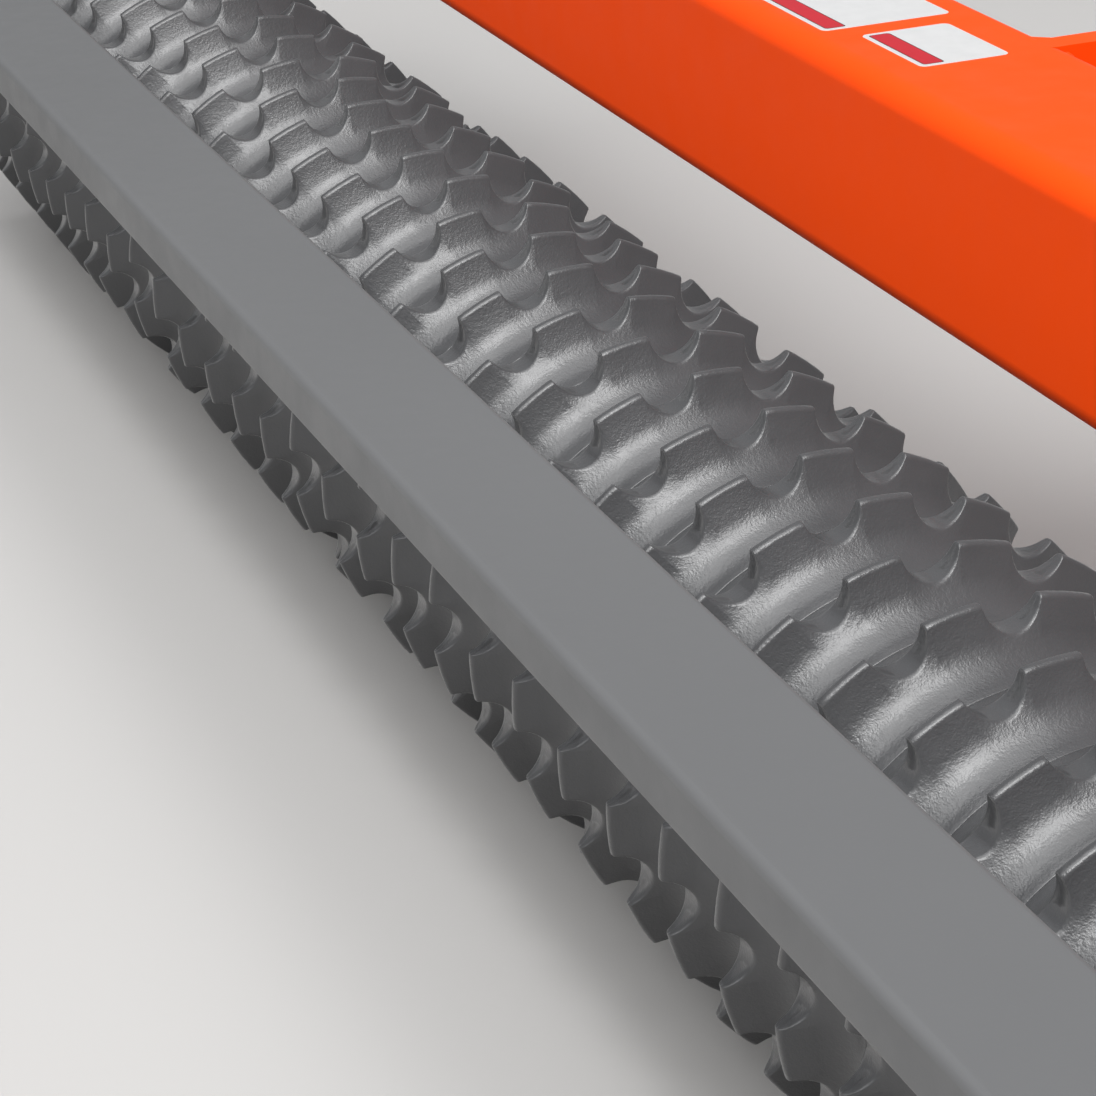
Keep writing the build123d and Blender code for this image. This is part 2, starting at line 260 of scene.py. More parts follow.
def capped(points):
    """A closed shape whose rows are its sections: a grid between them and a flat face
    on the first and on the last."""
    rows, count = points.shape[:2]
    faces = grid_faces(rows, count, wrap_rows=False).tolist()
    faces.append(list(range(count))[::-1])
    faces.append(list(range((rows - 1) * count, rows * count)))
    return points.reshape(-1, 3), faces


def looped(points):
    """A closed shape whose rows are its sections and come round to the first again."""
    return points.reshape(-1, 3), grid_faces(*points.shape[:2]).tolist()


def joined(shapes):
    """Several closed shapes as one, the faces of every later one counted on from the
    points of those before it."""
    points, faces, start = [], [], 0
    for own_points, own_faces in shapes:
        points.append(own_points)
        faces += [[start + index for index in face] for face in own_faces]
        start += len(own_points)
    return np.concatenate(points), faces


def rounded_outline(size, radius, steps=8):
    """Closed outline of a rounded square or, with two sizes, rectangle, anticlockwise:
    at each corner's centre a quarter circle that goes on from the one before."""
    turn = np.linspace(0, np.pi / 2, steps + 1)
    corners = np.array([(1, 1), (-1, 1), (-1, -1), (1, -1)])
    centres = corners * (np.asarray(size) / 2 - radius)
    angles = turn + np.arange(4)[:, None] * np.pi / 2
    circle = np.stack([np.cos(angles), np.sin(angles)], axis=-1)
    return (centres[:, None, :] + radius * circle).reshape(-1, 2)


def raised(loops, levels):
    """Outlines of two coordinates, each with its own level as the third."""
    levels = np.broadcast_to(np.array(levels)[:, None, None], loops.shape[:2] + (1,))
    return np.concatenate([loops, levels], axis=-1)


def bar_along_x(outline, start, end, middle):
    """A bar: the outline, given in Y and Z about its middle, stands at both ends and is
    drawn in by three hundredths over the last 0.6 mm."""
    drawn, share = 0.0006, np.array([0.97, 1, 1, 0.97])
    loops = share[:, None, None] * outline + np.array(middle)
    bar = raised(loops, (start, start + drawn, end - drawn, end))
    return capped(np.roll(bar, 1, axis=-1))


def sleeve(outer, inner, low, high, middle):
    """An upright tube: the outer outline at the low and high level, then the inner
    outline back at the high and low level."""
    loops = np.stack([outer, outer, inner, inner]) + middle
    return looped(raised(loops, (low, high, high, low)))


def slab(outline, low, high, edge):
    """A plate: its outline in X and Y at the low level and just below the high level,
    then drawn in by the edge at the high level."""
    centre = outline.mean(axis=0)
    reach = np.abs(outline - centre).max(axis=0)
    drawn = centre + (outline - centre) * (1 - edge / reach)
    return capped(raised(np.stack([outline, outline, drawn]), (low, high - edge, high)))


def turned(profile, centre, axis, segments, across=None, ring=False):
    """A turned shape: profile points (along, radius) are carried round the axis from the
    centre. A hexagon's radius is cut to half the distance across its flats over the
    cosine of the angle from the nearest flat. A ring's profile is a closed loop."""
    profile = np.asarray(profile, float)
    angles = np.linspace(0, 2 * np.pi, segments, endpoint=False)
    radii = np.broadcast_to(profile[:, 1][:, None], (len(profile), segments))
    if across:
        offset = (angles + np.pi / 6) % (np.pi / 3) - np.pi / 6
        radii = np.minimum(radii, across / 2 / np.cos(offset))
    axis = np.asarray(axis, float)
    side = np.array((0, 0, 1.0)) if abs(axis[2]) < 0.5 else np.array((1.0, 0, 0))
    circle = (np.cos(angles)[None, :, None] * side
              + np.sin(angles)[None, :, None] * np.cross(axis, side))
    points = np.asarray(centre) + profile[:, 0][:, None, None] * axis
    points = points + radii[..., None] * circle
    return looped(points) if ring else capped(points)


def both_ends(profile, start, segments, across=None):
    """A ring turned on the axle at both ends, whose profile starts so far from the
    machine's middle and goes outward."""
    return [turned(profile, (side * start, *AXLE[1:]), (side, 0, 0), segments, across,
                   ring=True) for side in (-1, 1)]


def bolt(place, axis, across, washer):
    """A washer and a hexagon head with a chamfered top on a surface."""
    thick, soft = 0.0028, 0.0007
    height = across * 0.42
    plate = [(0, washer), (thick - soft, washer), (thick, washer - soft), (thick, 0.004)]
    head = [(thick, across), (thick + height * 0.8, across * 0.56),
            (thick + height, across * 0.49), (thick + height, across * 0.3)]
    return [turned(plate, place, axis, 32), turned(head, place, axis, 48, across)]


def read_off(path, spacing, more=0):
    """Even points along a path about the spacing apart, six at least, and how far along
    it each one lies."""
    path = np.asarray(path, float)
    steps = np.linalg.norm(np.diff(path, axis=0), axis=1)
    length = np.concatenate([[0], np.cumsum(steps)])
    along = np.linspace(0, length[-1], max(int(length[-1] / spacing) + more, 6))
    return np.stack([np.interp(along, length, value) for value in path.T], axis=1), along


def carried(line, side, radius, segments):
    """A round shape: a circle is carried along a line, on the side direction and the
    normal to it and to the line."""
    side = np.asarray(side, float)
    up = np.cross(np.gradient(line, axis=0), side)
    up /= np.linalg.norm(up, axis=1)[:, None]
    angles = np.linspace(0, 2 * np.pi, segments, endpoint=False)[None, :, None]
    circle = np.cos(angles) * side + np.sin(angles) * up[:, None, :]
    return capped(line[:, None, :] + radius * circle)


def round_rod(path, radius, corner):
    """A round rod along a path with rounded corners: the path is read off every 2 mm
    and averaged over the corner's length."""
    spacing = 0.002
    line = read_off(path, spacing, 1)[0]
    half = int(corner / (2 * spacing))
    padded = np.pad(line, ((half, half), (0, 0)), mode="reflect", reflect_type="odd")
    even = np.ones(2 * half + 1) / (2 * half + 1)
    smooth = np.stack([np.convolve(value, even, "valid") for value in padded.T], axis=1)
    return carried(smooth, (0, 1, 0), radius, 16)


def bead(path, radius, seed, side):
    """A weld bead along a path. Its radius drops and jumps back once in each 1.1 radii
    of length, and swells slowly by sines that depend on the seed. Both ends are drawn in
    as the root of the distance left."""
    line, along = read_off(path, 0.4 * radius)
    phase = along / (radius * 1.1) + 0.3 * np.sin(along / 0.013 + seed)
    ripple = 1 - 0.16 * (phase % 1.0) ** 1.5
    wave = 1 + 0.07 * np.sin(along / 0.031 + 2.1 * seed) + 0.04 * np.sin(along / 0.012)
    left = np.minimum(along, along[-1] - along)
    ends = np.minimum(1, np.sqrt(left / radius + 0.08))
    return carried(line, side, (radius * ripple * wave * ends)[:, None, None], 10)


def bead_round(node, axis, end, radius, seed, bend, steps=4, size=None, sunk=0.0):
    """A bead round the end of a node on an axis (0 for X, 1 for Y, 2 for Z): the low one
    for 0 and the high one for 1, or somewhat below it. It follows the node's outline
    across that axis, or a square of its own size, with bent corners."""
    box = box_of(node)
    size = np.delete(box[1] - box[0], axis) if size is None else size
    outline = rounded_outline(size, bend, steps) + np.delete(box[2], axis)
    loop = np.concatenate([outline, outline[:1]])
    path = np.insert(loop, axis, box[end][axis] - sunk, axis=1)
    return bead(path, radius, seed, np.eye(3)[axis])


# Rings

def flank_radius(x, ring):
    """Radius of a ring's side at a distance from its middle: a hollow arc that is level
    at the seam, then from the shoulder a straight line up to the crest's edge."""
    def arc(distance):
        """The arc's centre less the root of its radius and its reach, both squared."""
        reach = ring.pitch / 2 - distance
        return ring.seam_radius + ring.hollow - np.sqrt(
            np.maximum(ring.hollow ** 2 - reach ** 2, 0))
    foot = arc(ring.shoulder)
    rise = (ring.shoulder - x) / (ring.shoulder - ring.crest_width / 2)
    return np.where(x > ring.shoulder, arc(x), foot + rise * (ring.radius - foot))


def flank_distance(radius, ring):
    """The inverse of flank_radius, by reading its curve off at 400 places."""
    x = np.linspace(ring.crest_width / 2, ring.pitch / 2, 400)[::-1]
    return np.interp(radius, flank_radius(x, ring), x)


def crest_line(ring):
    """Angle and radius of the crest line over one tooth's pitch. On a tooth it is the
    crest circle. In a notch, for t from -90 to 90 degrees, the angle goes as
    0.85 sin t + 0.15 t / 90 and the depth as cos t. The line is smoothed along its
    length by a bell curve, then read off at rows that lie closer where it bends more,
    as the root of its curvature."""
    step = 2 * np.pi / ring.teeth
    t = np.linspace(-np.pi / 2, np.pi / 2, 600)
    notch_turn = ring.notch_angle * (0.85 * np.sin(t) + 0.15 * 2 * t / np.pi)
    tooth_turn = np.linspace(0, step / 2 - ring.notch_angle, 200, endpoint=False)
    angle = np.concatenate([tooth_turn, step / 2 + notch_turn, (step - tooth_turn)[::-1]])
    flat = np.full(200, ring.radius)
    radius = np.concatenate([flat, ring.radius - ring.notch_depth * np.cos(t), flat])
    steps = np.hypot(ring.radius * np.diff(angle), np.diff(radius))
    length = np.concatenate([[0], np.cumsum(steps)])
    count = 1024
    spacing = length[-1] / count
    index = np.arange(count)
    even = index * spacing
    waves = np.fft.rfftfreq(count, spacing)
    bell = np.exp(-2 * (np.pi * waves * ring.lip_smoothing) ** 2)

    def smoothed(values):
        """The values' waves, each weighed by the bell curve."""
        return np.fft.irfft(np.fft.rfft(values) * bell, count)

    drift = even * step / length[-1]
    angle = drift + smoothed(np.interp(even, length, angle) - drift)
    radius = smoothed(np.interp(even, length, radius))
    run = np.stack([angle * ring.radius, radius])
    rate = np.roll(run, -1, axis=1) - np.roll(run, 1, axis=1)
    rate[0, [0, -1]] += step * ring.radius
    turn = np.unwrap(np.arctan2(rate[1], rate[0]))
    bend = np.abs(np.gradient(turn)) / spacing + 1 / ring.radius
    weight = np.concatenate([[0], np.cumsum(np.sqrt(bend))])
    shares = np.linspace(0, weight[-1], ring.rows, endpoint=False)
    marks = np.interp(shares, weight, np.arange(count + 1))
    return np.interp(marks, index, angle), np.interp(marks, index, radius)


def ring_side(edge_radius, ring):
    """Distances and radii from the seam to the middle of the crest on one side: a small
    rounding at the seam, even steps up the side to just below the edge, the edge
    rounded as a quadratic curve through the side, the corner and the floor, and the
    floor of the notch or the crest level from there."""
    columns, probe, middle_x = 7, 1e-4, 0.0001
    edge_x = flank_distance(edge_radius, ring)
    slope = (flank_radius(edge_x + probe, ring) - flank_radius(edge_x, ring)) / probe
    below_x = edge_x + ring.edge / np.hypot(1, slope)
    seam_x = ring.pitch / 2 - ring.seam_gap / 2
    start_x = seam_x - ring.seam_edge
    drop = np.array([1.0, 0.29]) * ring.seam_edge
    rows = len(edge_x)
    lip_x = np.tile([seam_x, seam_x - drop[1]], (rows, 1))
    lip_r = np.tile(flank_radius(start_x, ring) - drop, (rows, 1))
    below_x, edge_x, level = below_x[:, None], edge_x[:, None], edge_radius[:, None]
    side_x = start_x + np.linspace(0, 1, columns) * (below_x - start_x)
    side_r = flank_radius(side_x, ring)
    inner_x = edge_x - ring.edge
    t = np.array([1 / 4, 2 / 4, 3 / 4])
    start, middle, end = (1 - t) ** 2, 2 * t * (1 - t), t ** 2
    soft_x = start * below_x + middle * edge_x + end * inner_x
    soft_r = start * side_r[:, -1:] + (middle + end) * level
    middle_x = np.full((rows, 1), middle_x)
    return (np.concatenate([lip_x, side_x, soft_x, inner_x, middle_x], 1),
            np.concatenate([lip_r, side_r, soft_r, level, level], 1))


def ring_grid(ring, recessed):
    """One ring as a grid of rows round the axle and columns across it: right side,
    crest, left side a parting step lower, then down the left face to the bore and back
    up the right one. A recessed face (+1 right, -1 left) shows rim, web and hub."""
    angle, radius = crest_line(ring)
    step = 2 * np.pi / ring.teeth
    angles = (angle + step * np.arange(ring.teeth)[:, None]).ravel()
    radii = np.tile(radius, ring.teeth)
    right_x, right_r = ring_side(radii, ring)
    left_x, left_r = ring_side(radii - ring.parting_step, ring)
    seam_x = ring.pitch / 2 - ring.seam_gap / 2
    # Depth below the face and radius, from the rim's edge over the web to the hub
    plain = [(0.0, ring.bore)]
    hollowed = [(0.0, 0.1455), (0.0012, 0.1435), (ring.recess - 0.006, 0.139),
                (ring.recess, 0.132), (ring.recess, 0.070),
                (ring.recess - 0.005, 0.0635), (0.0012, 0.061), (0.0, 0.0595)] + plain
    left_face = hollowed if recessed < 0 else plain
    right_face = (hollowed if recessed > 0 else plain)[::-1]
    face_x = [depth - seam_x for depth, _ in left_face]
    face_x += [seam_x - depth for depth, _ in right_face]
    face_r = [r for _, r in left_face + right_face]
    rows = len(radii)
    x = np.concatenate([right_x, -left_x[:, ::-1], np.tile(face_x, (rows, 1))], 1)
    r = np.concatenate([right_r, left_r[:, ::-1], np.tile(face_r, (rows, 1))], 1)
    return x, r, angles[:, None]


def ring_batch(ring, first, last):
    """The rings from first up to last: the same grid turned on the shaft by each ring's
    own angle and set at its own place along it."""
    grids = {side: ring_grid(ring, side) for side in (-1, 0, 1)}
    points, faces, start = [], [], 0
    for k in range(first, last):
        side = -1 if k == 0 else (1 if k == ring.count - 1 else 0)
        x, r, angles = grids[side]
        number_right = k - ring.count // 2
        turn = angles + np.radians(RING_TURNS[(number_right + 16) % len(RING_TURNS)])
        spot = np.stack([x + number_right * ring.pitch, AXLE[1] + r * np.cos(turn),
                         AXLE[2] + r * np.sin(turn)], axis=-1)
        faces.append(start + grid_faces(*x.shape))
        points.append(spot.reshape(-1, 3))
        start += x.size
    return np.concatenate(points), np.concatenate(faces)


# Finishes


def node(tree, kind, inputs, **settings):
    """A new node with its settings. Each named input is linked where its value is
    another node's socket, and set to the value otherwise."""
    item = tree.nodes.new(kind)
    for name, value in settings.items():
        setattr(item, name, value)
    for name, value in inputs.items():
        if isinstance(value, bpy.types.NodeSocket):
            tree.links.new(value, item.inputs[name])
        else:
            item.inputs[name].default_value = value
    return item


def scaled(colour, factor):
    """A colour times a factor."""
    return tuple(min(1.0, channel * factor) for channel in colour)


class Finish:
    """A material with its fixed values on the shader's own sockets, whose patterns read
    the object coordinates."""

    def __init__(self, name, colour, roughness, metallic=0.0, coat=0.0, specular=0.5,
                 tint=(1, 1, 1)):
        material = bpy.data.materials.new(name)
        material.use_nodes = True
        material.diffuse_color = (*colour, 1)
        self.colour, self.roughness, self.tree = colour, roughness, material.node_tree
        self.surface = self.tree.nodes["Principled BSDF"].inputs
        for socket, value in (("Base Color", (*colour, 1)), ("Roughness", roughness),
                              ("Metallic", metallic), ("Coat Weight", coat),
                              ("Coat Roughness", 0.31), ("Specular IOR Level", specular),
                              ("Specular Tint", (*tint, 1))):
            self.surface[socket].default_value = value
        self.place = node(self.tree, "ShaderNodeTexCoord", {}).outputs["Object"]

    def noise(self, scale, detail, stretch=(1, 1, 1)):
        """A noise pattern with so many features a metre, stretched along the axes."""
        place = node(self.tree, "ShaderNodeMapping",
                     {"Vector": self.place, "Scale": stretch}).outputs["Vector"]
        return node(self.tree, "ShaderNodeTexNoise",
                    {"Vector": place, "Scale": scale, "Detail": detail}).outputs["Fac"]

    def spread(self, pattern, low, high, start=0.3, end=0.7):
        """A pattern's values from start to end, spread from low to high."""
        return node(self.tree, "ShaderNodeMapRange",
                    {"Value": pattern, "From Min": start, "From Max": end,
                     "To Min": low, "To Max": high}).outputs["Result"]

    def tint(self, pattern, low, high, *span):
        """Base colour from the low to the high share of its own, by a pattern."""
        mix = node(self.tree, "ShaderNodeMix",
                   {"Factor": self.spread(pattern, 0, 1, *span),
                    "A": (*scaled(self.colour, low), 1),
                    "B": (*scaled(self.colour, high), 1)}, data_type="RGBA")
        self.tree.links.new(mix.outputs["Result"], self.surface["Base Color"])

    def gloss(self, pattern, less, more):
        """Roughness from so much less than its own to so much more, by a pattern."""
        value = self.spread(pattern, self.roughness - less, self.roughness + more)
        self.tree.links.new(value, self.surface["Roughness"])

    def relief(self, *layers):
        """Bumps on top of each other: pairs of a pattern and its height in metres."""
        under = {}
        for pattern, height in layers:
            bump = node(self.tree, "ShaderNodeBump", {
                "Strength": 1.0, "Distance": height, "Height": pattern, **under})
            under = {"Normal": bump.outputs["Normal"]}
        for socket in ("Normal", "Coat Normal"):
            self.tree.links.new(under["Normal"], self.surface[socket])


def cast_finish(name, colour, roughness, coat, height):
    """Glossy paint over a sand casting: pits of 1 to 2 mm, lumps of 4 to 8 mm and slow
    unevenness, with patches that are slightly duller and darker."""
    finish = Finish(name, colour, roughness, coat=coat, specular=0.35)
    finish.tint(finish.noise(14, 4), 0.88, 1.1)
    finish.gloss(finish.noise(55, 3), 0.06, 0.09)
    finish.relief((finish.noise(45, 2), height * 0.6),
                  (finish.noise(360, 1), height * 0.4),
                  (finish.noise(850, 1), height * 0.3))


def powder_finish(name, colour, roughness, height, specular=0.5, tint=(1, 1, 1)):
    """Powder coat on rolled steel: a fine orange peel over a slow waviness, with small
    changes of tint and gloss, longer along the sections than across them."""
    finish = Finish(name, colour, roughness, specular=specular, tint=tint)
    finish.tint(finish.noise(3.0, 3, (0.4, 1, 1)), 0.95, 1.04)
    finish.gloss(finish.noise(24, 3), 0.04, 0.05)
    finish.relief((finish.noise(9, 1), height * 6), (finish.noise(380, 1), height))


def metal_finish(name, colour, roughness):
    """Plated or ground steel: fine scratches along the length and a faint stain."""
    finish = Finish(name, colour, roughness, metallic=1.0)
    finish.tint(finish.noise(40, 4), 0.8, 1.1)
    finish.gloss(finish.noise(300, 2, (0.08, 1, 1)), 0.06, 0.08)
    finish.relief((finish.noise(900, 1, (0.06, 1, 1)), 0.00002))


def rubber_finish(name, colour):
    """Moulded rubber: matt, with a fine grain and grey scuffs."""
    finish = Finish(name, colour, 0.62)
    finish.tint(finish.noise(90, 4), 1, 2.6, 0.5, 0.8)
    finish.relief((finish.noise(1400, 1), 0.00004))


def label_finish(name, colour):
    """Printed film: smooth, slightly glossy, with faint dirt."""
    finish = Finish(name, colour, 0.28, specular=0.15)
    finish.tint(finish.noise(60, 3), 0.94, 1)
    finish.relief((finish.noise(120, 1), 0.00003))


# Operators

class CULTIPACKER_OT_finishes(bpy.types.Operator):
    """Make the materials that every piece takes its finish from."""
    bl_idname = "cultipacker.finishes"
    bl_label = "Finishes"

    def execute(self, context):
        colours = context.scene.packer_colours
        cast_finish("ring_enamel", colours.casting, 0.34, 0.95, 0.00048)
        powder_finish("grey_powder", colours.grey, 0.42, 0.00003, 0.45)
        powder_finish("orange_powder", colours.orange, 0.45, 0.00004, 0.12,
                      (1.0, 0.6, 0.25))
        cast_finish("bearing_paint", colours.bearing, 0.45, 0.1, 0.0003)
        powder_finish("black_enamel", colours.black, 0.38, 0.00004)
        metal_finish("zinc_plate", colours.bright, 0.30)
        metal_finish("bolt_zinc", scaled(colours.bright, 0.85), 0.36)
        rubber_finish("handle_rubber", colours.rubber)
        label_finish("label_white", colours.label)
        label_finish("label_band", colours.label_band)
        label_finish("label_rule", colours.label_rule)
        return {"FINISHED"}


class CULTIPACKER_OT_rings(bpy.types.Operator):
    """Build the gang of notched rings."""
    bl_idname = "cultipacker.rings"
    bl_label = "Rings"

    def execute(self, context):
        for label, span in RING_BATCHES.items():
            rings = ring_batch(context.scene.packer_ring, *span)
            piece(f"ring_gang_{label}", rings, "ring_enamel", "roller",
                  ("rings_even", "rings_odd"), weighted=False)
        return {"FINISHED"}


class CULTIPACKER_OT_end_ribs(bpy.types.Operator):
    """Build the ribs between hub and rim on the two end rings."""
    bl_idname = "cultipacker.end_ribs"
    bl_label = "End ring ribs"

    def execute(self, context):
        ring = context.scene.packer_ring
        count, hub, rim, thick = 5, 0.058, 0.143, 0.012
        web = ring.count * ring.pitch / 2 - ring.recess
        outline = rounded_outline((thick, ring.recess + 0.002), 0.004)
        points, faces = bar_along_x(outline, hub, rim, (0, web + 0.006))
        out, across, along = points.T
        ribs = []
        for side in (-1, 1):
            for turn in np.arange(count) * 2 * np.pi / count:
                y = out * np.cos(turn) - across * np.sin(turn)
                z = out * np.sin(turn) + across * np.cos(turn)
                rib = np.stack([side * along, y + AXLE[1], z + AXLE[2]], axis=1)
                ribs.append((rib, [face[::side] for face in faces]))
        piece("end_ring_ribs", ribs, "ring_enamel", "roller")
        return {"FINISHED"}


class CULTIPACKER_OT_shaft(bpy.types.Operator):
    """Turn the shaft, its clamp collars with set screws, and the end nuts."""
    bl_idname = "cultipacker.shaft"
    bl_label = "Shaft"

    def execute(self, context):
        ring = context.scene.packer_ring
        low, high, _ = box_of("shaft")
        span, radius, edge = high[0], (high[2] - low[2]) / 2, 0.003
        rod = turned([(-span, radius - edge), (edge - span, radius),
                      (span - edge, radius), (span, radius - edge)],
                     (0, *AXLE[1:]), (1, 0, 0), 64)
        piece("turned_shaft", rod, "zinc_plate", "roller", ("shaft",))
        inner, play, radius, edge = ring.count * ring.pitch / 2, 0.0002, 0.0505, 0.002
        long = box_of("clamp_collars")[1][0] - inner
        collar = [(play, ring.bore), (play, radius - edge), (edge, radius),
                  (long - edge, radius), (long, radius - edge), (long, ring.bore)]
        piece("turned_collars", both_ends(collar, inner, 64), "ring_enamel", "roller",
              ("clamp_collars",))
        screws = []
        for side in (-1, 1):
            top = (side * (inner + long / 2), AXLE[1], AXLE[2] + 0.0495)
            screws += bolt(top, (0, 0, 1), 0.013, 0.0085)
        piece("collar_screws", screws, "bolt_zinc", "roller")
        low, high, _ = box_of("lock_nuts")
        start = box_of("bearings")[1][0] + 0.008
        long, corner, face, edge = high[0] - start, 0.0395, 0.033, 0.003
        nut = [(0, ring.bore), (0, face), (edge, corner), (long - edge, corner),
               (long, face), (long, ring.bore)]
        piece("end_nuts", both_ends(nut, start, 72, high[2] - low[2]), "black_enamel",
              "roller", ("lock_nuts",))
        return {"FINISHED"}


class CULTIPACKER_OT_bearings(bpy.types.Operator):
    """Build the flange bearings, their inner rings and their grease nipples."""
    bl_idname = "cultipacker.bearings"
    bl_label = "Bearings"

    def execute(self, context):
        low, high, _ = box_of("bearings")
        flange = context.scene.packer_frame.bearing_flange
        inner = box_of("hanger_right")[1][0]
        long = high[0] - inner
        points, faces = slab(rounded_outline(high[2] - low[2], 0.026), 0, flange, 0.002)
        across, up, out = points.T
        housing = [(flange - 0.004, 0.0262), (flange - 0.004, 0.0615), (flange, 0.0600),
                   (flange + 0.003, 0.0545), (flange + 0.008, 0.0495),
                   (flange + 0.015, 0.0468), (long - 0.004, 0.0460),
                   (long - 0.0012, 0.0450), (long, 0.0425), (long, 0.0372),
                   (long - 0.004, 0.0365), (long - 0.004, 0.0262)]
        race = [(long - 0.006, 0.0256), (long - 0.006, 0.0340), (long - 0.002, 0.0340),
                (long - 0.001, 0.0330), (long - 0.001, 0.0256)]
        nipple = [(-0.003, 0.0042), (0.003, 0.0042), (0.0032, 0.0026), (0.007, 0.0026),
                  (0.0078, 0.0034), (0.0098, 0.0034), (0.0112, 0.0016)]
        housings, nipples = [], []
        for side, barrel in zip((-1, 1), both_ends(housing, inner, 72)):
            plate = np.stack([side * (inner + out), side * across, up], axis=1)
            housings += [(plate + (0, *AXLE[1:]), faces), barrel]
            top = (side * (inner + 0.030), AXLE[1], AXLE[2] + 0.0465)
            nipples.append(turned(nipple, top, (0, 0, 1), 24))
        piece("bearing_housings", housings, "bearing_paint", "root", ("bearings",))
        piece("bearing_races", both_ends(race, inner, 64), "zinc_plate", "root")
        piece("grease_nipples", nipples, "bolt_zinc", "root")
        return {"FINISHED"}


class CULTIPACKER_OT_tubes(bpy.types.Operator):
    """Build the main beam, the flat rear bar and the tongue with rolled corners."""
    bl_idname = "cultipacker.tubes"
    bl_label = "Beam, bar and tongue"

    def execute(self, context):
        sizes = context.scene.packer_frame
        for part, bend, slot in (("main_beam", sizes.beam_bend, "orange_powder"),
                                 ("rear_bar", sizes.bar_bend, "grey_powder")):
            low, high, middle = box_of(part)
            outline = rounded_outline((high - low)[1:], bend)
            tube = bar_along_x(outline, low[0], high[0], middle[1:])
            piece("rolled_" + part, tube, slot, "root", (part,))
        low, high, middle = box_of("tongue")
        outline = rounded_outline((high - low)[::2], sizes.tongue_bend)
        points, faces = bar_along_x(outline, low[1], high[1], (-middle[0], middle[2]))
        along, left, up = points.T
        piece("rolled_tongue", (np.stack([-left, along, up], axis=1), faces),
              "orange_powder", "root", ("tongue",))
        return {"FINISHED"}


class CULTIPACKER_OT_plates(bpy.types.Operator):
    """Round the edges of the flanges, side plates, cheeks, nose and clevis."""
    bl_idname = "cultipacker.plates"
    bl_label = "Plates"

    def execute(self, context):
        edge = context.scene.packer_frame.plate_edge
        for side in ("left", "right"):
            softened(f"beam_flange_{side}", "orange_powder", "root", edge)
            softened(f"cheek_plate_{side}", "orange_powder", "root", edge)
            softened(f"hanger_{side}", "grey_powder", "root", edge)
        softened("nose_plate", "orange_powder", "root", edge)
        softened("hitch_clevis", "black_enamel", "root", 2 * edge)
        return {"FINISHED"}


class CULTIPACKER_OT_welds(bpy.types.Operator):
    """Lay the weld beads between tubes and plates."""
    bl_idname = "cultipacker.welds"
    bl_label = "Welds"

    def execute(self, context):
        sizes = context.scene.packer_frame
        beam_beads(sizes)
        corner_welds(sizes)
        bars = [bead_round("rear_bar", 0, end, 0.8 * sizes.bead, 6 + end, sizes.bar_bend)
                for end in (0, 1)]
        piece("bar_beads", bars, "grey_powder", "root")
        tongue_beads(sizes)
        jack_beads()
        return {"FINISHED"}


def beam_beads(sizes):
    """Round the beam at both flanges, and up the cheeks' outer and inner sides, over
    part of the beam's front bends."""
    bend, depth, inset = sizes.beam_bend, 0.9, 0.003
    beads = [bead_round("main_beam", 0, end, sizes.bead, 1 + end, bend, 6)
             for end in (0, 1)]
    _, high, middle = box_of("main_beam")
    turn = np.linspace(depth, 0, 6)
    corner = np.stack([np.sin(np.pi / 2 - turn), np.sin(turn)], axis=1)
    upper = (high[1:] - bend) + (bend - inset) * corner
    front = np.concatenate([upper, (upper * (1, -1) + (0, 2 * middle[2]))[::-1]])
    for side in ("left", "right"):
        cheek = box_of(f"cheek_plate_{side}")
        for end in (0, 1):
            path = np.insert(front, 0, cheek[end][0], axis=1)
            beads.append(bead(path, sizes.corner_bead, 3 + end, (1, 0, 0)))
    piece("beam_beads", beads, "orange_powder", "root")


def corner_welds(sizes):
    """Weld metal that fills the corner between the beam's front bend and the outer side
    of each cheek, nearly level with their tops."""
    cheek, front, top = box_of("cheek_plate_right")[1][0], *box_of("main_beam")[1][1:]
    fill, sunk, drop = sizes.corner_fill, 0.001, 0.0012
    start = front - 0.85 * sizes.beam_bend
    plan = np.array([(cheek - sunk, start), (cheek + fill, start),
                     (cheek + 0.75 * fill, start + 0.004),
                     (cheek + 0.25 * fill, front - 0.0005),
                     (cheek + 0.10 * fill, front + 0.001), (cheek - sunk, front + 0.002)])
    fills = [slab(outline, top - 0.030, top - drop, drop)
             for outline in (plan, (plan * (-1, 1))[::-1])]
    piece("corner_welds", fills, "orange_powder", "root")


def tongue_beads(sizes):
    """Along the tongue's corners at the cheeks, across its foot, round its nose and
    round the clevis."""
    low, high, _ = box_of("tongue")
    inset, gap, upper, up, foot = 0.003, 0.004, 0.318, (0, 0, 1), low[1]
    beads = []
    for seed, side in ((8, -1), (9, 1)):
        x = side * (high[0] - inset)
        for more, end, z in ((0, foot + upper, high[2] - inset),
                             (2, box_of("cheek_plate_left")[1][1], low[2] + inset)):
            path = [(x, foot + gap, z), (x, end, z)]
            beads.append(bead(path, 1.15 * sizes.bead, seed + more, up))
    path = [(low[0], foot, high[2]), (high[0], foot, high[2])]
    beads += [bead(path, sizes.bead, 12, up),
              bead_round("tongue", 1, 1, 0.7 * sizes.bead, 13, sizes.tongue_bend),
              bead_round("hitch_clevis", 1, 0, 0.8 * sizes.bead, 14, 0.004, 2)]
    piece("tongue_beads", beads, "orange_powder", "root")


